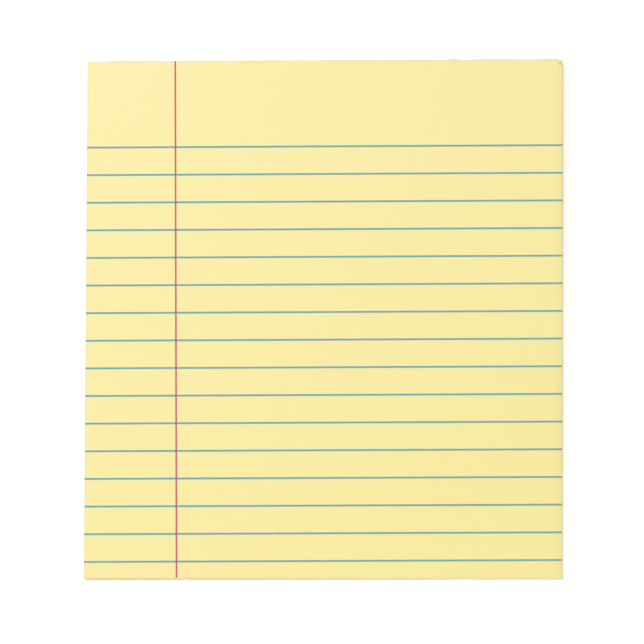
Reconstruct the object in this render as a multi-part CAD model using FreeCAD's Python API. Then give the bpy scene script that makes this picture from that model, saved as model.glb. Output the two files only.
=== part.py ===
"""Ruled writing pad: sheets glued at the head to a grey board, lying face up.

Millimetres, +Z up. The origin is the centre of the board's underside, +Y runs
to the glued head and +X to the reader's right.
"""
import FreeCAD, Part
import math
import os

# Sheets: a guillotined stack, so every sheet has the same cut size
sheet_width = 139.7
sheet_length = 152.4
sheet_count = 50
sheet_caliper = 0.10
sheet_jog = 0.05            # how far a single sheet's edge strays from the cut
left_turn = 1.9             # turns, in radians a sheet, that keep the three cut edges' jogs apart
right_turn = 2.7
foot_turn = 2.3
slow_turn = 0.37            # share of those turns that makes the jogs come and go
corner_radius = 0.4         # worn corner at the right of the head

# Board under the stack
board_thickness = 0.76
board_overhang = 0.03       # the stiff board is cut a hair larger than the paper

# Upright grooves that a chipped cutter left in the foot side, as (place from the centre, width) along X
foot_nicks = ((-40.2, 1.4), (38.7, 1.5), (40.9, 0.8), (42.4, 1.2), (45.2, 1.1))
nick_depth = 0.26

# Film of padding glue brushed on the head, with beads where it gathered
glue_film = 0.26            # thickness at mid height, between the beads
glue_rim = 0.19             # thickness at the film's upper and lower rims
glue_ripple = 0.05          # slow waves left by the brush, and finer ones on them
glue_ripple_pitch = 21.0
glue_fine_ripple = 0.025
glue_fine_pitch = 9.0
glue_margin = 0.12          # the film stops short of the board's underside and the top sheet
glue_end = 0.5              # and short of the pad's two head corners
glue_beads = ((-60.4, 3.2, 0.14), (-22.6, 6.0, 0.12), (13.6, 9.0, 0.10),
              (37.6, 3.0, 0.26), (53.0, 4.0, 0.09), (64.0, 3.6, 0.08))  # place, width, height
glue_station = 1.0          # spacing of the places along the film at which its thickness is set
glue_rows = 4               # and how many such steps it has up the film

# Print on the top sheet
ink_thickness = 0.04
rule_pitch = 8.14
first_rule_from_head = 25.42
foot_space = 3.0            # no rule is printed nearer to the foot than this
rule_drift = 0.11           # how far the middle rules lie towards the foot from an even spacing
rule_width = 0.56
first_rule_skew = 0.09      # degrees, rising to the right
last_rule_skew = 0.17
margin_from_left = 26.5
margin_width = 0.49
margin_lean = 0.5           # degrees, the foot end further right

# What follows from these
half_width = sheet_width / 2
half_length = sheet_length / 2
top_level = board_thickness + sheet_count * sheet_caliper
top_sheet = sheet_count - 1
rule_count = 1 + int((sheet_length - first_rule_from_head - foot_space) / rule_pitch)
up = FreeCAD.Vector(0, 0, 1)


def point(x, y, z=0.0):
    return FreeCAD.Vector(x, y, z)


def line(start, end):
    return Part.LineSegment(start, end).toShape()


def arc(start, middle, end):
    return Part.Arc(start, middle, end).toShape()


def prism(edges, height):
    """The solid over a closed outline, upwards from the outline's own level."""
    return Part.Face(Part.Wire(edges)).extrude(up * height)


def jog(number, turn):
    """How far one cut edge of a sheet strays: a fixed, uneven run of offsets, nil on the top sheet."""
    angle = (top_sheet - number) * turn
    return sheet_jog * math.sin(angle) * math.cos(angle * slow_turn)


def sheet_edges(number):
    """Where a sheet's left, right and foot edges lie."""
    left = -half_width - jog(number, left_turn)
    right = half_width + jog(number, right_turn)
    foot = -half_length - jog(number, foot_turn)
    return left, right, foot


def foot_run(left, right, foot, level):
    """The foot edge from left to right. The bottom of each nick is at one depth in every sheet."""
    corners = [point(left, foot, level)]
    for place, width in foot_nicks:
        corners.append(point(place - width / 2, foot, level))
        corners.append(point(place, nick_depth - half_length, level))
        corners.append(point(place + width / 2, foot, level))
    corners.append(point(right, foot, level))
    return [line(start, end) for start, end in zip(corners, corners[1:])]


def outline(left, right, foot, level):
    """A cut outline: square, but for the worn corner at the right of the head and the nicks."""
    head = half_length
    worn = corner_radius * (1 - math.sqrt(0.5))
    edges = foot_run(left, right, foot, level)
    edges.append(line(point(right, foot, level), point(right, head - corner_radius, level)))
    edges.append(arc(point(right, head - corner_radius, level),
                     point(right - worn, head - worn, level),
                     point(right - corner_radius, head, level)))
    edges.append(line(point(right - corner_radius, head, level), point(left, head, level)))
    edges.append(line(point(left, head, level), point(left, foot, level)))
    return edges


def make_sheet_block():
    """The sheets, glued into one block whose cut edges show every sheet."""
    sheets = []
    for number in range(sheet_count):
        left, right, foot = sheet_edges(number)
        level = board_thickness + number * sheet_caliper
        sheets.append(prism(outline(left, right, foot, level), sheet_caliper))
    block = sheets[0].multiFuse(sheets[1:]).removeSplitter()
    return block.Solids[0]


def make_backing_board():
    """The grey board, flush with the sheets at the head and a hair larger at the other edges."""
    reach = half_width + board_overhang
    return prism(outline(-reach, reach, -half_length - board_overhang, 0.0), board_thickness)


def glue_thickness(x, height_share):
    """The film's thickness: brush ripples and beads, thinning towards its upper and lower rims."""
    ripple = glue_ripple * math.sin(2 * math.pi * x / glue_ripple_pitch)
    ripple += glue_fine_ripple * math.sin(2 * math.pi * x / glue_fine_pitch)
    beads = sum(height * math.exp(-(2 * (x - place) / width) ** 2) for place, width, height in glue_beads)
    crown = glue_rim + (glue_film - glue_rim) * math.sin(math.pi * height_share)
    return crown * (1 + (ripple + beads) / glue_film)


def make_binding_glue():
    """The film of glue: flat where it grips the head, its outer face one smooth brushed surface."""
    low = glue_margin
    high = top_level - glue_margin
    start = -half_width + glue_end
    end = half_width - corner_radius - glue_end
    columns = max(4, round((end - start) / glue_station))
    along = (end - start) / columns
    rise = (high - low) / glue_rows
    # The film is laid out flat, its upper rim first, and then stood up against the head
    heights = [[glue_thickness(start + column * along, row / glue_rows) for row in range(glue_rows + 1)]
               for column in range(columns + 1)]
    surface = Part.BSplineSurface()
    surface.interpolate(heights, start, along, -high, rise)
    outer = surface.toShape()
    corners = [point(start, -high), point(end, -high), point(end, -low), point(start, -low)]
    faces = [outer, Part.Face(Part.makePolygon(corners + corners[:1]))]
    for edge in outer.Edges:
        first, last = edge.Vertexes[0].Point, edge.Vertexes[-1].Point
        first_foot, last_foot = point(first.x, first.y), point(last.x, last.y)
        rim = [edge, line(last, last_foot), line(last_foot, first_foot), line(first_foot, first)]
        faces.append(Part.Face(Part.Wire(rim)))
    film = Part.Solid(Part.makeShell(faces))
    film.rotate(point(0, 0), point(1, 0), -90)
    film.translate(point(0, half_length))
    return film


def film_over(corners):
    """The ink over a four-sided patch of the top sheet."""
    return Part.Face(Part.makePolygon(corners + corners[:1])).extrude(up * ink_thickness)


def margin_place(y):
    """The margin line's middle at a distance y along the sheet."""
    return -half_width + margin_from_left - y * math.tan(math.radians(margin_lean))


def make_margin_line():
    """The red line from head to foot."""
    foot = sheet_edges(top_sheet)[2]
    half = margin_width / 2
    corners = [point(margin_place(foot) - half, foot, top_level),
               point(margin_place(foot) + half, foot, top_level),
               point(margin_place(half_length) + half, half_length, top_level),
               point(margin_place(half_length) - half, half_length, top_level)]
    return film_over(corners)


def make_rule(number):
    """One blue rule, from edge to edge of the top sheet."""
    left, right = sheet_edges(top_sheet)[:2]
    share = number / max(1, rule_count - 1)
    drift = rule_drift * math.sin(math.pi * share)
    middle = half_length - first_rule_from_head - number * rule_pitch - drift
    skew = first_rule_skew + (last_rule_skew - first_rule_skew) * share
    rise = math.tan(math.radians(skew))
    half = rule_width / 2
    corners = [point(left, middle + left * rise - half, top_level),
               point(right, middle + right * rise - half, top_level),
               point(right, middle + right * rise + half, top_level),
               point(left, middle + left * rise + half, top_level)]
    return film_over(corners)


def make_ruled_lines(margin_line):
    """All the rules, each broken where the margin line crosses it."""
    runs = []
    for number in range(rule_count):
        runs += make_rule(number).cut(margin_line).Solids
    return Part.makeCompound(runs)


margin_line = make_margin_line()
nodes = {
    "backing_board": make_backing_board(),
    "sheet_block": make_sheet_block(),
    "binding_glue": make_binding_glue(),
    "ruled_lines": make_ruled_lines(margin_line),
    "margin_line": margin_line,
}

os.makedirs("parts", exist_ok=True)
for name, shape in nodes.items():
    shape.exportStep("parts/" + name + ".step")
    box = shape.BoundBox
    print(name, "solids", len(shape.Solids), "valid", shape.isValid(), "volume", round(shape.Volume, 2),
          "faces", len(shape.Faces), "box", [round(v, 3) for v in
          (box.XMin, box.YMin, box.ZMin, box.XMax, box.YMax, box.ZMax)])
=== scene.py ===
"""Dresses the writing pad: paper, print, glue and board around its fixed frame, in metres."""
import math

import bmesh
import bpy
from mathutils import Matrix, Vector, noise


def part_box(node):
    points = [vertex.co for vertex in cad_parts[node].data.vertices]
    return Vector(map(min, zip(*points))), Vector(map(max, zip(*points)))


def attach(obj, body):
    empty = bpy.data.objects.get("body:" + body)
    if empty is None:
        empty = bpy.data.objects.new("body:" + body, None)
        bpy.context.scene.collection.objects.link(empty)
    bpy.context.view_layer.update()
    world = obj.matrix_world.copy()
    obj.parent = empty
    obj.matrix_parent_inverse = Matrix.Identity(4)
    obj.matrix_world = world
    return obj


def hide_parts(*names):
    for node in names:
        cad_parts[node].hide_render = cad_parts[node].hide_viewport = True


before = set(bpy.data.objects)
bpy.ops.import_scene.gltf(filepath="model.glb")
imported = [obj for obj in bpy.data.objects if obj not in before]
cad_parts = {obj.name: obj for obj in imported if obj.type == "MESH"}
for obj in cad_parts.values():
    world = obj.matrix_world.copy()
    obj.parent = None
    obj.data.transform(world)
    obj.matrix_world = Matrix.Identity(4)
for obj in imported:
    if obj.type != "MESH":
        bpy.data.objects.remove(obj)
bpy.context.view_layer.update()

# Units and what the frame gives
MM = 0.001
board_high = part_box("backing_board")[1]
stack_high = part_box("sheet_block")[1]
rules_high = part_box("ruled_lines")[1]
margin_low, margin_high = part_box("margin_line")
glue_low, glue_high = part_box("binding_glue")
half_width = rules_high.x
head = margin_high.y
foot = margin_low.y
paper_top = stack_high.z
board_top = board_high.z

# Sheets
sheet_count = 50
caliper = (paper_top - board_top) / sheet_count
air_gap = 0.008 * MM
sheet_thickness = caliper - air_gap
sheet_jog = 0.05 * MM
edge_waver = 0.012 * MM
head_hold = 1 * MM
left_turn = 1.9
right_turn = 2.7
foot_turn = 2.3
slow_turn = 0.37
corner_radius = 0.4 * MM
corner_steps = 4
corner_shares = (1.0, 0.66, 0.33)

# Grooves in the foot side, as (place from the centre, width) in millimetres
foot_nicks = ((-40.2, 1.4), (38.7, 1.5), (40.9, 0.8), (42.4, 1.2), (45.2, 1.1))
nick_depth = 0.26 * MM
nick_steps = 6
nick_room = 0.1 * MM

# Spacing of the points round a sheet's edge and over the top sheet
edge_station = 1.7 * MM
grid_station = 1.5 * MM
foot_strip = 0.45 * MM
head_strip = 8 * MM
head_rows = 10

# How the top sheet lifts: slow billows all over it, cockles near the glue
billow_height = 0.10 * MM
cockle_height = 0.07 * MM
cockle_reach = 5 * MM

# Marks on the top sheet, by how far each reaches in from its edge
# Painted shade along the right edge reaches this far in
edge_shade_reach = 2.4 * MM
left_reach = 0.6 * MM
head_reach = 0.45 * MM
# Painted shade along the head reaches this far in, further where the glue film is thicker
head_shade_reach = 1.3 * MM
head_shade_waver = 1.1 * MM
head_shade_least = 0.2 * MM
# A dark spot near the head's right corner
dark_spot_place = (half_width - 0.6 * MM, head - 1.0 * MM, paper_top)
dark_spot_reach = 1.1 * MM

# Print
rule_count = 16
rule_pitch = 8.14 * MM
first_rule = head - 25.42 * MM
rule_drift = 0.11 * MM
rule_width = 0.56 * MM
rule_stations = 281
rule_raggedness = 0.10 * MM
first_rule_skew = math.radians(0.09)
last_rule_skew = math.radians(0.17)
margin_middle = -half_width + 26.5 * MM
margin_width = 0.49 * MM
margin_stations = 301
margin_raggedness = 0.08 * MM
margin_lean = math.radians(0.5)
ink_rise = 0.012 * MM
red_rise = ink_rise * 1.6
crossing_rise = ink_rise * 2.2
crossing_share = 0.96
ink_depth = 0.03 * MM

# Glue film. A bead is (place, width, height) in millimetres
glue_film = 0.26 * MM
glue_rim = 0.19 * MM
glue_ripple = 0.05 * MM
glue_ripple_pitch = 21.0 * MM
glue_fine_ripple = 0.025 * MM
glue_fine_pitch = 9.0 * MM
glue_beads = ((-60.4, 3.2, 0.14), (-22.6, 6.0, 0.12), (13.6, 9.0, 0.10),
              (37.6, 3.0, 0.26), (53.0, 4.0, 0.09), (64.0, 3.6, 0.08))
glue_stations = 401
glue_rows = 29
glue_streaks = 0.05 * MM
glue_soft_rim = 0.15 * MM
glue_soft_end = 0.8 * MM
glue_thinnest = 0.02 * MM

# Board: its section at the edge as (height, inset) in millimetres, and how rough the cut is
board_profile = ((0.0, 0.06), (0.03, 0.012), (0.09, 0.0), (0.40, 0.0), (0.67, 0.0), (0.73, 0.010),
                 (0.76, 0.05))
cut_roughness = 0.012
cut_grain = 700
cut_level_grain = 9

# Camera, fitted to the pad's four corners, and light
camera_place = Vector((0.1534, -0.3144, 2.6163))
camera_aim = Vector((-0.00048, -0.00109, 0.00576))
camera_roll = math.radians(0.253)
camera_lens = 503.1
camera_reach = 100.0
key_place = Vector((-0.56, 0.50, 0.95))
key_size = 0.5
key_power = 6.9
fill_place = Vector((0.58, -1.04, 0.43))
fill_size = 0.9
fill_power = 10.6
sky_strength = 0.47
white = (1.0, 1.0, 1.0, 1.0)
floor_tone = (0.82, 0.82, 0.82, 1.0)
floor_glow = 0.42
floor_reach = 6.0
floor_gap = 0.05 * MM
floor_overlap = 1.5 * MM


# Helpers for node trees

def linear(red, green, blue):
    """A colour given as it looks on a screen, 0 to 255, in the light values that shaders use."""
    shares = [value / 255 for value in (red, green, blue)]
    return tuple(s / 12.92 if s <= 0.04045 else ((s + 0.055) / 1.055) ** 2.4 for s in shares) + (1.0,)


def fill(tree, socket, value):
    """Links a socket to another node's output, or gives it a plain value."""
    if isinstance(value, bpy.types.NodeSocket):
        tree.links.new(value, socket)
    else:
        socket.default_value = value


def add(tree, kind, sockets=None, **settings):
    """A node with its settings made and its sockets filled."""
    made = tree.nodes.new(kind)
    for name, value in settings.items():
        setattr(made, name, value)
    for name, value in (sockets or {}).items():
        fill(tree, made.inputs[name], value)
    return made


def maths(tree, operation, *terms, clamp=False):
    """One step of arithmetic on sockets or numbers."""
    made = add(tree, "ShaderNodeMath", dict(enumerate(terms)), operation=operation, use_clamp=clamp)
    return made.outputs[0]


def total(tree, terms):
    """The sum of several sockets or numbers."""
    result = terms[0]
    for term in terms[1:]:
        result = maths(tree, "ADD", result, term)
    return result


def near(tree, distance, reach):
    """1 at no distance, falling evenly to 0 at the reach."""
    return maths(tree, "SUBTRACT", 1.0, maths(tree, "DIVIDE", distance, reach), clamp=True)


def above(tree, value, threshold, gain):
    """How far a value passes a threshold, times the gain, from 0 to 1."""
    return maths(tree, "MULTIPLY", maths(tree, "SUBTRACT", value, threshold, clamp=True), gain, clamp=True)


def separate(tree, vector):
    return add(tree, "ShaderNodeSeparateXYZ", {0: vector}).outputs


def combine(tree, x, y, z):
    return add(tree, "ShaderNodeCombineXYZ", {0: x, 1: y, 2: z}).outputs[0]


def stretched_noise(tree, vector, scales, detail=2.0, roughness=0.5):
    """Noise from 0 to 1 whose grain has its own size along each axis: scales are grains a metre."""
    terms = {0: vector, 1: scales, 2: (0.37, 0.61, 0.83)}
    spread = add(tree, "ShaderNodeVectorMath", terms, operation="MULTIPLY_ADD").outputs[0]
    sockets = {"Vector": spread, "Scale": 1.0, "Detail": detail, "Roughness": roughness}
    return add(tree, "ShaderNodeTexNoise", sockets).outputs[0]


class Recipe:
    """A geometry tree with named sizes, and the values that its modifier gets."""

    def __init__(self, name):
        self.tree = bpy.data.node_groups.new(name, "GeometryNodeTree")
        self.values = {}
        self.socket("Geometry", "NodeSocketGeometry")
        self.tree.interface.new_socket("Geometry", in_out="OUTPUT", socket_type="NodeSocketGeometry")
        self.sizes = self.tree.nodes.new("NodeGroupInput")

    def socket(self, name, kind):
        return self.tree.interface.new_socket(name, in_out="INPUT", socket_type=kind)

    def size(self, name, value):
        """A named input, given its value in the modifier. Returns the socket that nodes read."""
        kind = "NodeSocketInt" if isinstance(value, int) else "NodeSocketFloat"
        made = self.socket(name, kind)
        made.default_value = value
        self.values[made.identifier] = value
        return self.sizes.outputs[name]

    def start(self):
        """The mesh that the tree starts from."""
        return self.sizes.outputs["Geometry"]

    def add(self, kind, sockets=None, **settings):
        """The first output of a new node."""
        return add(self.tree, kind, sockets, **settings).outputs[0]

    def maths(self, operation, *terms, **settings):
        return maths(self.tree, operation, *terms, **settings)

    def noise(self, vector, scales, **settings):
        return stretched_noise(self.tree, vector, scales, **settings)

    def position(self):
        return self.add("GeometryNodeInputPosition")

    def split(self, vector):
        return separate(self.tree, vector)

    def join(self, x, y, z):
        return combine(self.tree, x, y, z)

    def shift(self, geometry, x, y, z):
        """Moves every point by this much."""
        return self.add("GeometryNodeSetPosition", {"Geometry": geometry, "Offset": self.join(x, y, z)})

    def put(self, geometry, x, y, z):
        """Gives every point this place."""
        return self.add("GeometryNodeSetPosition", {"Geometry": geometry, "Position": self.join(x, y, z)})

    def named(self, name):
        return self.add("GeometryNodeInputNamedAttribute", {"Name": name}, data_type="FLOAT")

    def store(self, geometry, name, value, domain="POINT"):
        sockets = {"Geometry": geometry, "Name": name, "Value": value}
        return self.add("GeometryNodeStoreNamedAttribute", sockets, data_type="FLOAT", domain=domain)

    def repeat(self, points, instance, **sockets):
        """One copy of a mesh on each point, as real mesh."""
        copies = self.add("GeometryNodeInstanceOnPoints", {"Points": points, "Instance": instance, **sockets})
        return self.add("GeometryNodeRealizeInstances", {"Geometry": copies})

    def finish(self, geometry, material):
        """The tree's end: plain mesh out of instances, in its material."""
        real = self.add("GeometryNodeRealizeInstances", {"Geometry": geometry})
        shown = self.add("GeometryNodeSetMaterial", {"Geometry": real, "Material": material})
        out = self.tree.nodes.new("NodeGroupOutput")
        self.tree.links.new(shown, out.inputs[0])

    def make(self, name, start_mesh=None):
        """The finished piece: the tree's result as a plain mesh on an object of its own."""
        carrier = bpy.data.objects.new(name + "_start", start_mesh or bpy.data.meshes.new(name + "_start"))
        bpy.context.scene.collection.objects.link(carrier)
        modifier = carrier.modifiers.new("recipe", "NODES")
        modifier.node_group = self.tree
        for identifier, value in self.values.items():
            modifier[identifier] = value
        graph = bpy.context.evaluated_depsgraph_get()
        mesh = bpy.data.meshes.new_from_object(carrier.evaluated_get(graph), depsgraph=graph)
        carrier.modifiers.remove(modifier)
        bpy.data.objects.remove(carrier)
        return piece(name, mesh)


def piece(name, mesh):
    """A mesh as an object in the scene."""
    mesh.name = name
    made = bpy.data.objects.new(name, mesh)
    bpy.context.scene.collection.objects.link(made)
    return made


def shade_smooth(thing, degrees):
    """Smooth faces, with sharp edges kept where they turn by more than this."""
    thing.data.shade_smooth()
    thing.data.set_sharp_from_angle(angle=math.radians(degrees))


# Outlines shared by the sheets and the board

def nick_at(x):
    """How deep the grooves of a chipped cutter run into the foot side at a place along X."""
    deepest = 0.0
    for place, width in foot_nicks:
        reach = abs(x - place * MM) / (width * MM / 2)
        deepest = max(deepest, nick_depth * (1 - reach))
    return deepest


def foot_stations(station):
    """Places along the foot edge: evenly spaced, and close together over each nick."""
    steps = round(2 * half_width / station)
    places = [-half_width + 2 * half_width * i / steps for i in range(steps + 1)]
    for place, width in foot_nicks:
        low, high = (place - width / 2) * MM, (place + width / 2) * MM
        places = [x for x in places if x < low - nick_room or x > high + nick_room]
        places += [low + (high - low) * i / nick_steps for i in range(nick_steps + 1)]
    return sorted(places)


def sheet_outline():
    """The cut edge of a sheet as (x, y, nick) from the foot's left end round to the left edge."""
    places = [(x, foot, nick_at(x)) for x in foot_stations(edge_station)]
    right_run = head - corner_radius - foot
    right_steps = round(right_run / edge_station)
    for i in range(1, right_steps):
        places.append((half_width, foot + right_run * i / right_steps, 0.0))
    for i in range(corner_steps + 1):
        turn = math.pi / 2 * i / corner_steps
        places.append((half_width - corner_radius * (1 - math.cos(turn)),
                       head - corner_radius * (1 - math.sin(turn)), 0.0))
    head_run = 2 * half_width - corner_radius
    head_steps = round(head_run / edge_station)
    for i in range(1, head_steps + 1):
        places.append((half_width - corner_radius - head_run * i / head_steps, head, 0.0))
    left_steps = round((head - foot) / edge_station)
    for i in range(1, left_steps):
        places.append((-half_width, head - (head - foot) * i / left_steps, 0.0))
    return places


def plain_sheet(thickness):
    """One sheet with its head edge on y = 0, as a closed slab. The nick is left to an attribute."""
    outline = sheet_outline()
    count = len(outline)
    lower = [(x, y - head, 0.0) for x, y, nick in outline]
    upper = [(x, y - head, thickness) for x, y, nick in outline]
    ends = [tuple(range(count))[::-1], tuple(range(count, 2 * count))]
    sides = [(i, (i + 1) % count, count + (i + 1) % count, count + i) for i in range(count)]
    mesh = bpy.data.meshes.new("plain_sheet")
    mesh.from_pydata(lower + upper, [], ends + sides)
    nicks = mesh.attributes.new("nick", "FLOAT", "POINT")
    nicks.data.foreach_set("value", [nick for x, y, nick in outline] * 2)
    return mesh


def sheet_grid():
    """The top sheet's columns and rows: close together at the head, the worn corner and the nicks."""
    columns = foot_stations(grid_station) + [half_width - corner_radius * share for share in corner_shares]
    rows = [foot, foot + foot_strip]
    middle = head - head_strip - rows[1]
    steps = round(middle / grid_station)
    rows += [rows[1] + middle * i / steps for i in range(1, steps + 1)]
    near_head = head_strip - 2 * corner_radius
    rows += [head - head_strip + near_head * i / head_rows for i in range(1, head_rows + 1)]
    rows += [head - corner_radius * share for share in corner_shares] + [head]
    return sorted(set(columns)), rows


def gridded_sheet(thickness):
    """The top sheet as a closed slab with a fine grid, so that it can lift and cockle."""
    columns, rows = sheet_grid()
    width, height = len(columns), len(rows)
    places = []
    for row, y in enumerate(rows):
        for x in columns:
            u = max(0.0, (x - half_width + corner_radius) / corner_radius)
            v = max(0.0, (y - head + corner_radius) / corner_radius)
            turned_x = x - corner_radius * u * (1 - math.sqrt(1 - v * v / 2))
            turned_y = y - corner_radius * v * (1 - math.sqrt(1 - u * u / 2))
            places.append((turned_x, turned_y + (nick_at(x) if row == 0 else 0.0)))
    count = len(places)
    points = [(x, y, paper_top - thickness) for x, y in places] + [(x, y, paper_top) for x, y in places]
    faces = []
    for row in range(height - 1):
        for column in range(width - 1):
            a = row * width + column
            b, c, d = a + 1, a + width + 1, a + width
            faces.append((d, c, b, a))
            faces.append((count + a, count + b, count + c, count + d))
    rim = list(range(width)) + [row * width + width - 1 for row in range(1, height)]
    rim += [(height - 1) * width + column for column in range(width - 2, -1, -1)]
    rim += [row * width for row in range(height - 2, 0, -1)]
    for here, there in zip(rim, rim[1:] + rim[:1]):
        faces.append((here, there, count + there, count + here))
    mesh = bpy.data.meshes.new("gridded_sheet")
    mesh.from_pydata(points, [], faces)
    return mesh


# Paper

def make_lift_group():
    """How far the top sheet lifts off the stack at a position: slow billows, and cockles at the glue."""
    tree = bpy.data.node_groups.new("paper lift", "GeometryNodeTree")
    tree.interface.new_socket("Position", in_out="INPUT", socket_type="NodeSocketVector")
    tree.interface.new_socket("Lift", in_out="OUTPUT", socket_type="NodeSocketFloat")
    position = tree.nodes.new("NodeGroupInput").outputs[0]
    slow = stretched_noise(tree, position, (18.0, 13.0, 0.0), detail=1.0)
    billow = maths(tree, "MULTIPLY", maths(tree, "POWER", slow, 1.5), billow_height)
    from_head = maths(tree, "SUBTRACT", head, separate(tree, position)[1])
    fade = maths(tree, "EXPONENT", maths(tree, "MULTIPLY", from_head, -1 / cockle_reach))
    cockle = stretched_noise(tree, position, (70.0, 30.0, 0.0), detail=1.0)
    cockle = maths(tree, "MULTIPLY", maths(tree, "MULTIPLY", cockle, fade), cockle_height)
    out = tree.nodes.new("NodeGroupOutput")
    tree.links.new(maths(tree, "ADD", billow, cockle), out.inputs[0])
    return tree


def lift_at(recipe, position):
    return recipe.add("GeometryNodeGroup", {0: position}, node_tree=lift_group)


def jog_of(recipe, number, turn, jog):
    """How far a sheet's edge strays from the cut, by its number from the top."""
    angle = recipe.maths("MULTIPLY", number, turn)
    slow = recipe.maths("COSINE", recipe.maths("MULTIPLY", angle, slow_turn))
    return recipe.maths("MULTIPLY", recipe.maths("MULTIPLY", recipe.maths("SINE", angle), slow), jog)


def make_sheet_stack(paper):
    """Every sheet under the top one: one sheet repeated, each a hair off the cut line."""
    recipe = Recipe("sheet stack")
    count = recipe.size("Sheet Count", sheet_count - 1)
    pitch = recipe.size("Caliper", caliper)
    waver = recipe.size("Edge Waver", edge_waver)
    jog = recipe.size("Sheet Jog", sheet_jog)
    line = recipe.add("GeometryNodeMeshLine",
                      {"Count": count, "Start Location": recipe.join(0.0, head, board_top),
                       "Offset": recipe.join(0.0, 0.0, pitch)}, mode="OFFSET")
    below_top = recipe.maths("SUBTRACT", count, recipe.add("GeometryNodeInputIndex"))
    left = jog_of(recipe, below_top, left_turn, jog)
    right = jog_of(recipe, below_top, right_turn, jog)
    low = jog_of(recipe, below_top, foot_turn, jog)
    aside = recipe.maths("MULTIPLY", recipe.maths("SUBTRACT", right, left), 0.5)
    wide = recipe.maths("ADD", 1.0, recipe.maths("DIVIDE", recipe.maths("ADD", left, right), 2 * half_width))
    long = recipe.maths("ADD", 1.0, recipe.maths("DIVIDE", low, head - foot))
    sheets = recipe.add("GeometryNodeInstanceOnPoints",
                        {"Points": recipe.shift(line, aside, 0.0, 0.0), "Instance": recipe.start(),
                         "Scale": recipe.join(wide, long, 1.0)})
    sheets = recipe.store(sheets, "from_top", below_top, domain="INSTANCE")
    real = recipe.add("GeometryNodeRealizeInstances", {"Geometry": sheets})
    # Each nick's bottom is at one depth in every sheet, so it is deeper in a sheet that stands out further
    deeper = recipe.maths("MULTIPLY_ADD", low, 1 / nick_depth, 1.0)
    tear = recipe.maths("MULTIPLY", recipe.named("nick"), deeper)
    position = recipe.position()
    drift = recipe.maths("SUBTRACT", recipe.noise(position, (300.0, 300.0, 21000.0)), 0.5)
    short_of_head = recipe.maths("LESS_THAN", recipe.split(position)[1], head - head_hold)
    drift = recipe.maths("MULTIPLY", recipe.maths("MULTIPLY", drift, waver), short_of_head)
    recipe.finish(recipe.shift(real, drift, recipe.maths("ADD", tear, drift), 0.0), paper)
    return recipe.make("stacked_sheets", plain_sheet(sheet_thickness))


def make_top_sheet(paper):
    """The ruled sheet: the same cut size, barely lifting off the stack."""
    recipe = Recipe("top sheet")
    film = recipe.size("Film Thickness", glue_film)
    position = recipe.position()
    moved = recipe.shift(recipe.start(), 0.0, 0.0, lift_at(recipe, position))
    swell = film_swell(recipe, recipe.split(position)[0])
    recipe.finish(recipe.store(moved, "glue_there", recipe.maths("DIVIDE", swell, film)), paper)
    made = recipe.make("top_sheet", gridded_sheet(sheet_thickness))
    shade_smooth(made, 40)
    return made


# Print

def ink_run(recipe, length_x, length_y, stations_x, stations_y):
    """A flat run of ink about the origin, with its place across and its upper side kept as attributes."""
    run = recipe.add("GeometryNodeMeshCube",
                     {"Size": recipe.join(length_x, length_y, ink_depth),
                      "Vertices X": stations_x, "Vertices Y": stations_y, "Vertices Z": 2})
    x, y, z = recipe.split(recipe.position())
    run = recipe.store(run, "along_x", x)
    run = recipe.store(run, "along_y", y)
    return recipe.store(run, "upper", recipe.maths("GREATER_THAN", z, 0.0))


def lay_on_paper(recipe, run, across_x, across_y, raggedness, rise):
    """Ink laid on the lifted top sheet, with slightly uneven edges."""
    depth = recipe.size("Ink Depth", ink_depth)
    height = recipe.size("Ink Rise", rise)
    ragged = recipe.size("Edge Raggedness", raggedness)
    position = recipe.position()
    x, y, z = recipe.split(position)
    uneven = recipe.maths("SUBTRACT", recipe.noise(position, (900.0, 900.0, 0.0), detail=3.0), 0.5)
    uneven = recipe.maths("MULTIPLY", uneven, ragged)
    x = recipe.maths("ADD", x, recipe.maths("MULTIPLY", uneven, across_x))
    y = recipe.maths("ADD", y, recipe.maths("MULTIPLY", uneven, across_y))
    thick = recipe.maths("ADD", height, depth)
    level = recipe.maths("SUBTRACT", recipe.maths("MULTIPLY", recipe.named("upper"), thick), depth)
    return recipe.put(run, x, y, total(recipe.tree, [level, lift_at(recipe, position), paper_top]))


def rule_points(recipe):
    """One point a rule, on the sheet's middle line, and the skew that rule has."""
    count = recipe.size("Rule Count", rule_count)
    pitch = recipe.size("Rule Pitch", rule_pitch)
    step = recipe.join(0.0, recipe.maths("MULTIPLY", pitch, -1.0), 0.0)
    sockets = {"Count": count, "Start Location": (0.0, first_rule, 0.0), "Offset": step}
    line = recipe.add("GeometryNodeMeshLine", sockets, mode="OFFSET")
    spaces = recipe.maths("SUBTRACT", count, 1.0)
    share = recipe.maths("DIVIDE", recipe.add("GeometryNodeInputIndex"), spaces)
    skew = recipe.maths("MULTIPLY_ADD", share, last_rule_skew - first_rule_skew, first_rule_skew)
    bow = recipe.maths("SINE", recipe.maths("MULTIPLY", share, math.pi))
    return recipe.shift(line, 0.0, recipe.maths("MULTIPLY", bow, -rule_drift), 0.0), skew


def make_ruled_lines(ink):
    """The blue rules, edge to edge."""
    recipe = Recipe("ruled lines")
    points, skew = rule_points(recipe)
    width = recipe.size("Rule Width", rule_width)
    length = recipe.size("Rule Length", 2 * half_width)
    run = ink_run(recipe, length, width, rule_stations, 3)
    rules = recipe.repeat(points, run, Rotation=recipe.join(0.0, 0.0, skew))
    across = recipe.maths("DIVIDE", recipe.named("along_y"), recipe.maths("MULTIPLY", width, 0.5))
    recipe.finish(lay_on_paper(recipe, rules, 0.0, across, rule_raggedness, ink_rise), ink)
    return recipe.make("blue_rules")


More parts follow.
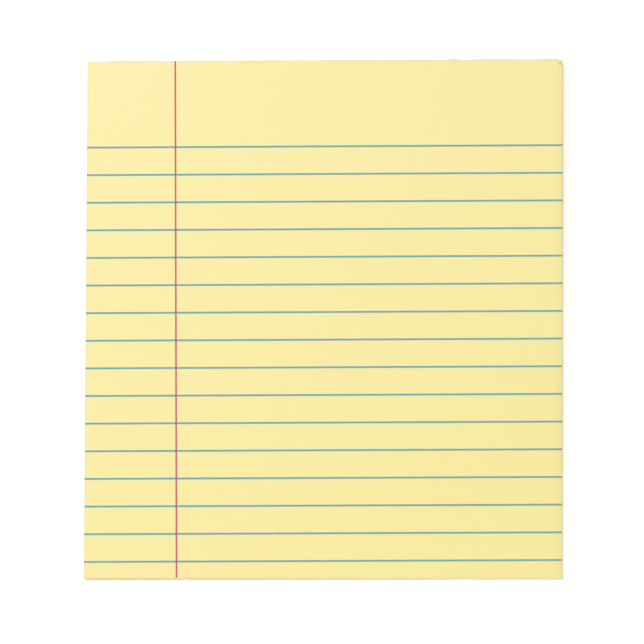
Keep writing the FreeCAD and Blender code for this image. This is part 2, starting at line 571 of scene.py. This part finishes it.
def make_margin_line(ink):
    """The red margin line, head to foot, leaning a little."""
    recipe = Recipe("margin line")
    width = recipe.size("Line Width", margin_width)
    length = recipe.size("Line Length", head - foot)
    run = ink_run(recipe, width, length, 3, margin_stations)
    x = recipe.named("along_x")
    y = recipe.named("along_y")
    middle = recipe.maths("MULTIPLY_ADD", y, -math.tan(margin_lean), margin_middle)
    leaned = recipe.put(run, recipe.maths("ADD", x, middle), y, 0.0)
    across = recipe.maths("DIVIDE", x, recipe.maths("MULTIPLY", width, 0.5))
    recipe.finish(lay_on_paper(recipe, leaned, across, 0.0, margin_raggedness, red_rise), ink)
    return recipe.make("red_margin")


def make_overprint(ink):
    """The small dark patches where the red line is printed over each blue rule."""
    recipe = Recipe("overprint")
    points, skew = rule_points(recipe)
    width = recipe.size("Patch Width", margin_width * crossing_share)
    length = recipe.size("Patch Length", rule_width * crossing_share)
    y = recipe.split(recipe.position())[1]
    x = recipe.maths("MULTIPLY_ADD", y, -math.tan(margin_lean), margin_middle)
    rise = recipe.maths("MULTIPLY", x, recipe.maths("TANGENT", skew))
    run = ink_run(recipe, width, length, 4, 4)
    patches = recipe.repeat(recipe.shift(points, x, rise, 0.0), run, Rotation=recipe.join(0.0, 0.0, skew))
    recipe.finish(lay_on_paper(recipe, patches, 0.0, 0.0, 0.0, crossing_rise), ink)
    return recipe.make("ink_crossings")


# Glue

def wave(recipe, x, pitch, height):
    """One of the brush's ripples."""
    swing = recipe.maths("SINE", recipe.maths("MULTIPLY", x, 2 * math.pi / pitch))
    return recipe.maths("MULTIPLY", swing, height)


def film_swell(recipe, x):
    """What the brush's ripples and the beads add to the glue film's thickness at a place along the head."""
    parts = [wave(recipe, x, glue_ripple_pitch, glue_ripple),
             wave(recipe, x, glue_fine_pitch, glue_fine_ripple)]
    for place, width, height in glue_beads:
        reach = recipe.maths("MULTIPLY", recipe.maths("SUBTRACT", x, place * MM), 2 / (width * MM))
        square = recipe.maths("MULTIPLY", reach, reach)
        bell = recipe.maths("EXPONENT", recipe.maths("MULTIPLY", square, -1.0))
        parts.append(recipe.maths("MULTIPLY", bell, height * MM))
    return total(recipe.tree, parts)


def softened(recipe, from_middle, half, reach):
    """1 over most of a length, dropping round to 0 over the reach at each end."""
    inside = recipe.maths("SUBTRACT", half, recipe.maths("ABSOLUTE", from_middle))
    share = recipe.maths("MINIMUM", recipe.maths("DIVIDE", inside, reach), 1.0)
    return recipe.maths("POWER", share, 0.5)


def make_glue_film(glue):
    """The brushed film on the head: ripples, beads and fine streaks, thinning to its rims and ends."""
    recipe = Recipe("glue film")
    length = recipe.size("Film Length", glue_high.x - glue_low.x)
    rise = recipe.size("Film Height", glue_high.z - glue_low.z)
    thick = recipe.size("Film Thickness", glue_film)
    rim = recipe.size("Rim Thickness", glue_rim)
    film = recipe.add("GeometryNodeMeshCube",
                      {"Size": recipe.join(length, 2.0, 2.0),
                       "Vertices X": glue_stations, "Vertices Y": 2, "Vertices Z": glue_rows})
    position = recipe.position()
    from_middle, y, z = recipe.split(position)
    x = recipe.maths("ADD", from_middle, (glue_high.x + glue_low.x) / 2)
    outer = recipe.maths("GREATER_THAN", y, 0.0)
    half_rise = recipe.maths("MULTIPLY", rise, 0.5)
    z = recipe.maths("MULTIPLY", recipe.maths("SINE", recipe.maths("MULTIPLY", z, math.pi / 2)), half_rise)
    share = recipe.maths("ADD", recipe.maths("DIVIDE", z, rise), 0.5)
    arch = recipe.maths("SINE", recipe.maths("MULTIPLY", share, math.pi))
    crown = recipe.maths("MULTIPLY_ADD", arch, recipe.maths("SUBTRACT", thick, rim), rim)
    swell = recipe.maths("ADD", 1.0, recipe.maths("DIVIDE", film_swell(recipe, x), thick))
    streaks = recipe.maths("SUBTRACT", recipe.noise(position, (60.0, 0.0, 2600.0), detail=3.0), 0.5)
    streaks = recipe.maths("MULTIPLY", streaks, glue_streaks)
    thickness = recipe.maths("ADD", recipe.maths("MULTIPLY", crown, swell), streaks)
    soft_rim = softened(recipe, z, half_rise, glue_soft_rim)
    soft_end = softened(recipe, from_middle, recipe.maths("MULTIPLY", length, 0.5), glue_soft_end)
    thickness = recipe.maths("MULTIPLY", thickness, recipe.maths("MULTIPLY", soft_rim, soft_end))
    thickness = recipe.maths("MAXIMUM", thickness, glue_thinnest)
    reach = recipe.maths("MULTIPLY_ADD", outer, thickness, head)
    level = recipe.maths("ADD", z, (glue_high.z + glue_low.z) / 2)
    recipe.finish(recipe.put(film, x, reach, level), glue)
    made = recipe.make("glue_film")
    shade_smooth(made, 60)
    return made


# Board

def board_loop(mesh, outline, level, inset):
    """One line of corners round the board at a height, standing a little out of the sheets' outline."""
    overhang = board_high.x - half_width
    loop = []
    for x, y, nick in outline:
        side_x = math.copysign(1.0, x) if abs(x) > half_width - 2 * corner_radius else 0.0
        side_y = math.copysign(1.0, y) if abs(y) > head - 2 * corner_radius else 0.0
        rough = cut_roughness * noise.noise(Vector((x * cut_grain, y * cut_grain, level * cut_level_grain)))
        out = overhang + (rough - inset) * MM
        out_at_head = (min(rough, 0.0) - inset) * MM
        out_y = out_at_head if y > 0 else out
        into = nick * (1 + overhang / nick_depth)
        loop.append(mesh.verts.new((x + side_x * out, y + into + side_y * out_y, level * MM)))
    return loop


def make_board(card):
    """The chipboard: knife-cut sides with slightly crushed, uneven corners."""
    outline = sheet_outline()
    count = len(outline)
    mesh = bmesh.new()
    loops = [board_loop(mesh, outline, level, inset) for level, inset in board_profile]
    for lower, upper in zip(loops, loops[1:]):
        for i in range(count):
            after = (i + 1) % count
            mesh.faces.new((lower[i], lower[after], upper[after], upper[i]))
    mesh.faces.new(loops[0][::-1])
    mesh.faces.new(loops[-1])
    data = bpy.data.meshes.new("grey_board")
    mesh.to_mesh(data)
    mesh.free()
    data.materials.append(card)
    made = piece("grey_board", data)
    shade_smooth(made, 35)
    return made


# Materials

def new_material(name, roughness, gloss):
    """A material with a bare Principled shader: returns its tree, the shader and object coordinates."""
    material = bpy.data.materials.new(name)
    material.use_nodes = True
    tree = material.node_tree
    shader = tree.nodes["Principled BSDF"]
    shader.inputs["Roughness"].default_value = roughness
    shader.inputs["Specular IOR Level"].default_value = gloss
    coordinates = tree.nodes.new("ShaderNodeTexCoord").outputs["Object"]
    return material, tree, shader, coordinates


def tint(tree, colour, other, share):
    """One colour mixed with another."""
    made = add(tree, "ShaderNodeMix", {"Factor": share}, data_type="RGBA")
    fill(tree, made.inputs[6], colour)
    fill(tree, made.inputs[7], other)
    return made.outputs[2]


def bump(tree, shader, heights, distance):
    """Surface relief: heights from 0 to 1 over this distance."""
    made = add(tree, "ShaderNodeBump", {"Height": heights, "Distance": distance, "Strength": 1.0})
    tree.links.new(made.outputs["Normal"], shader.inputs["Normal"])


def attribute(tree, name):
    """A number kept on the mesh."""
    return add(tree, "ShaderNodeAttribute", attribute_name=name).outputs["Fac"]


def paper_fibres(tree, coordinates):
    """Fine fibres lying both ways, from 0 to 1."""
    lengthways = stretched_noise(tree, coordinates, (5200.0, 1100.0, 9000.0), detail=3.0, roughness=0.6)
    crossways = stretched_noise(tree, coordinates, (1300.0, 4700.0, 9000.0), detail=3.0, roughness=0.6)
    return maths(tree, "MULTIPLY", maths(tree, "ADD", lengthways, crossways), 0.5)


def ruled_sheet_colour(tree, coordinates, colour):
    """The ruled face has a painted sheen at the upper left, painted shade along the right edge and along the
    head, a greyer rim at the left, and a dark spot by the head's right corner.
    """
    x, y, z = separate(tree, coordinates)
    # Painted sheen: the sheet is paler towards the upper left, where the key lamp's sheen would fall.
    painted_sheen = maths(tree, "MULTIPLY_ADD", maths(tree, "SUBTRACT", y, x), 3.4, 0.5, clamp=True)
    colour = tint(tree, colour, linear(252, 239, 182), maths(tree, "MULTIPLY", painted_sheen, 0.6))
    # Painted shade: darker within a short reach of the right edge.
    right_edge_painted_shade = near(tree, maths(tree, "SUBTRACT", half_width, x), edge_shade_reach)
    colour = tint(tree, colour, linear(230, 214, 146), maths(tree, "MULTIPLY", right_edge_painted_shade, 0.45))
    # Painted shade: a darker band along the head, wider where the glue film is thicker, for the shade of the
    # sheet curving down under the glue.
    from_head = maths(tree, "SUBTRACT", head, y)
    uneven = stretched_noise(tree, coordinates, (260.0, 0.0, 0.0), detail=2.0)
    reach = total(tree, [maths(tree, "MULTIPLY", attribute(tree, "glue_there"), head_shade_reach),
                         maths(tree, "MULTIPLY", uneven, head_shade_waver)])
    head_painted_shade = near(tree, from_head, maths(tree, "MAXIMUM", reach, head_shade_least))
    colour = tint(tree, colour, linear(229, 219, 150), maths(tree, "MULTIPLY", head_painted_shade, 0.6))
    at_head = near(tree, from_head, head_reach)
    colour = tint(tree, colour, linear(243, 235, 206), maths(tree, "MULTIPLY", at_head, 0.8))
    at_left = near(tree, maths(tree, "ADD", half_width, x), left_reach)
    colour = tint(tree, colour, linear(230, 226, 190), maths(tree, "MULTIPLY", at_left, 0.7))
    # A dark spot near the head's right corner.
    from_dark_spot = add(tree, "ShaderNodeVectorMath", {0: coordinates, 1: dark_spot_place}, operation="DISTANCE")
    corner_dark_spot = near(tree, from_dark_spot.outputs["Value"], dark_spot_reach)
    return tint(tree, colour, linear(196, 188, 140), maths(tree, "MULTIPLY", corner_dark_spot, 0.6))


def cut_edge_colour(tree, coordinates, colour):
    """The cut edges are paler and in bands, and each sheet has a shade of its own that comes and goes."""
    shade = add(tree, "ShaderNodeTexWhiteNoise", {"W": attribute(tree, "from_top")}, noise_dimensions="1D")
    streaks = stretched_noise(tree, coordinates, (26.0, 26.0, 5200.0), detail=3.0, roughness=0.7)
    shade = maths(tree, "MULTIPLY", maths(tree, "MULTIPLY", shade.outputs[0], streaks), 1.6, clamp=True)
    bands = above(tree, stretched_noise(tree, coordinates, (9.0, 9.0, 1300.0), detail=2.0), 0.42, 2.4)
    colour = tint(tree, colour, linear(255, 251, 214), 0.85)
    colour = tint(tree, colour, linear(230, 213, 152), maths(tree, "MULTIPLY", bands, 0.35))
    return tint(tree, colour, linear(214, 197, 136), shade)


def make_paper(name, finish):
    """Yellow uncoated writing paper, with what this part of the pad adds to its colour."""
    material, tree, shader, coordinates = new_material(name, 0.82, 0.35)
    fibres = paper_fibres(tree, coordinates)
    cloud = stretched_noise(tree, coordinates, (260.0, 220.0, 260.0), detail=3.0)
    colour = tint(tree, linear(243, 228, 151), linear(249, 236, 161), fibres)
    colour = tint(tree, colour, linear(241, 228, 153), maths(tree, "MULTIPLY", cloud, 0.5))
    tree.links.new(finish(tree, coordinates, colour), shader.inputs["Base Color"])
    bump(tree, shader, maths(tree, "ADD", fibres, cloud), 0.006 * MM)
    return material


def make_ink(name, ink, worn):
    """Printed ink sunk into the paper's grain: a little of the sheet shows where it took less."""
    material, tree, shader, coordinates = new_material(name, 0.7, 0.35)
    grain = stretched_noise(tree, coordinates, (3600.0, 3600.0, 3600.0), detail=2.0)
    tree.links.new(tint(tree, ink, worn, above(tree, grain, 0.45, 0.9)), shader.inputs["Base Color"])
    bump(tree, shader, paper_fibres(tree, coordinates), 0.005 * MM)
    return material


def make_glue():
    """Dried padding glue: cloudy, yellowed by the paper behind it, streaked by the brush."""
    material, tree, shader, coordinates = new_material("padding_glue", 0.38, 0.5)
    streaks = stretched_noise(tree, coordinates, (90.0, 400.0, 3200.0), detail=3.0)
    cloud = stretched_noise(tree, coordinates, (300.0, 300.0, 300.0), detail=3.0)
    colour = tint(tree, linear(244, 235, 192), linear(222, 211, 162), streaks)
    colour = tint(tree, colour, linear(246, 241, 214), maths(tree, "MULTIPLY", cloud, 0.5))
    tree.links.new(colour, shader.inputs["Base Color"])
    bump(tree, shader, streaks, 0.03 * MM)
    return material


def make_card():
    """Grey recycled chipboard: mottled pulp, short pale and dark fibres, and flecks."""
    material, tree, shader, coordinates = new_material("grey_chipboard", 0.9, 0.3)
    pulp = stretched_noise(tree, coordinates, (650.0, 900.0, 3000.0), detail=4.0, roughness=0.65)
    cloud = stretched_noise(tree, coordinates, (70.0, 90.0, 90.0), detail=2.0)
    colour = tint(tree, linear(142, 136, 125), linear(184, 177, 163), pulp)
    colour = tint(tree, colour, linear(154, 150, 142), maths(tree, "MULTIPLY", cloud, 0.7))
    mottle = stretched_noise(tree, coordinates, (420.0, 340.0, 400.0), detail=3.0, roughness=0.6)
    mottle = above(tree, mottle, 0.48, 3.0)
    colour = tint(tree, colour, linear(122, 117, 108), maths(tree, "MULTIPLY", mottle, 0.45))
    for scales, fibre in (((260.0, 2600.0, 900.0), linear(196, 190, 178)),
                          ((2300.0, 300.0, 900.0), linear(104, 99, 92))):
        strands = above(tree, stretched_noise(tree, coordinates, scales, detail=1.0), 0.66, 9.0)
        colour = tint(tree, colour, fibre, maths(tree, "MULTIPLY", strands, 0.6))
    for scale, reach, fleck in ((420.0, 0.16, linear(88, 84, 80)), (330.0, 0.14, linear(214, 210, 200))):
        cells = add(tree, "ShaderNodeTexVoronoi", {"Vector": coordinates, "Scale": scale})
        colour = tint(tree, colour, fleck, near(tree, cells.outputs["Distance"], reach))
    tree.links.new(colour, shader.inputs["Base Color"])
    bump(tree, shader, pulp, 0.03 * MM)
    return material


# Stage

def seen_directly(tree):
    """1 for a ray from the camera or one mirrored or let through on its way, 0 for one that lights."""
    path = add(tree, "ShaderNodeLightPath").outputs
    beyond = maths(tree, "MAXIMUM", path["Is Glossy Ray"], path["Is Transmission Ray"])
    return maths(tree, "MAXIMUM", path["Is Camera Ray"], beyond)


def make_floor():
    """A pale floor that comes out white where it is fully lit, and still takes the pad's shadow.

    It is open under the pad, a little inside the board's outline, so a view from below shows the board.
    """
    mesh = bpy.data.meshes.new("floor")
    corners = []
    for x, y in ((-1, -1), (1, -1), (1, 1), (-1, 1)):
        corners.append((x * floor_reach, y * floor_reach, -floor_gap))
        corners.append((x * (board_high.x - floor_overlap), y * (head - floor_overlap), -floor_gap))
    mesh.from_pydata(corners, [], [(0, 2, 3, 1), (2, 4, 5, 3), (4, 6, 7, 5), (6, 0, 1, 7)])
    floor = piece("floor", mesh)
    material, tree, shader, coordinates = new_material("floor_white", 0.9, 0.0)
    shader.inputs["Base Color"].default_value = floor_tone
    shader.inputs["Emission Color"].default_value = white
    glow = maths(tree, "MULTIPLY", seen_directly(tree), floor_glow)
    tree.links.new(glow, shader.inputs["Emission Strength"])
    mesh.materials.append(material)


def make_sky():
    """Soft light from all round. What sees the sky itself sees white."""
    world = bpy.data.worlds.new("soft_sky")
    bpy.context.scene.world = world
    world.use_nodes = True
    tree = world.node_tree
    tree.nodes.clear()
    light = add(tree, "ShaderNodeBackground", {"Color": white, "Strength": sky_strength}).outputs[0]
    backdrop = add(tree, "ShaderNodeBackground", {"Color": white, "Strength": 1.0}).outputs[0]
    mixed = add(tree, "ShaderNodeMixShader", {0: seen_directly(tree), 1: light, 2: backdrop}).outputs[0]
    add(tree, "ShaderNodeOutputWorld", {0: mixed})


def make_lamp(name, place, size, power):
    """A square soft lamp turned to the pad."""
    lamp = bpy.data.lights.new(name, "AREA")
    lamp.size = size
    lamp.energy = power
    holder = bpy.data.objects.new(name, lamp)
    holder.location = place
    holder.rotation_euler = (-place).to_track_quat("-Z", "Y").to_euler()
    bpy.context.scene.collection.objects.link(holder)


def make_camera():
    """The photo's view: from above, a little to the foot and the right, through a long lens."""
    data = bpy.data.cameras.new("camera")
    data.lens = camera_lens
    data.clip_end = camera_reach
    camera = bpy.data.objects.new("camera", data)
    back = (camera_place - camera_aim).normalized()
    right = Vector((0, 1, 0)).cross(back).normalized()
    up = back.cross(right)
    turned = Matrix((right, up, back)).transposed() @ Matrix.Rotation(camera_roll, 3, "Z")
    camera.location = camera_place
    camera.rotation_euler = turned.to_euler()
    bpy.context.scene.collection.objects.link(camera)
    bpy.context.scene.camera = camera


lift_group = make_lift_group()
cut_paper = make_paper("cut_paper", cut_edge_colour)
ruled_paper = make_paper("ruled_paper", ruled_sheet_colour)
blue_ink = make_ink("blue_ink", linear(106, 166, 175), linear(166, 201, 182))
red_ink = make_ink("red_ink", linear(206, 90, 112), linear(226, 144, 146))
overprinted_ink = make_ink("overprinted_ink", linear(140, 100, 128), linear(170, 130, 140))
dressed = [
    (make_sheet_stack(cut_paper), ["sheet_block"], "yellow_paper"),
    (make_top_sheet(ruled_paper), ["sheet_block"], "yellow_paper"),
    (make_board(make_card()), ["backing_board"], "grey_board"),
    (make_glue_film(make_glue()), ["binding_glue"], "padding_glue"),
    (make_ruled_lines(blue_ink), ["ruled_lines"], "blue_ink"),
    (make_margin_line(red_ink), ["margin_line"], "red_ink"),
    (make_overprint(overprinted_ink), ["margin_line"], "red_ink"),
]
for thing, nodes, finish_slot in dressed:
    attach(thing, "root")
    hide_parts(*nodes)

make_floor()
make_sky()
make_lamp("key", key_place, key_size, key_power)
make_lamp("fill", fill_place, fill_size, fill_power)
make_camera()
bpy.context.scene.view_settings.view_transform = "Standard"
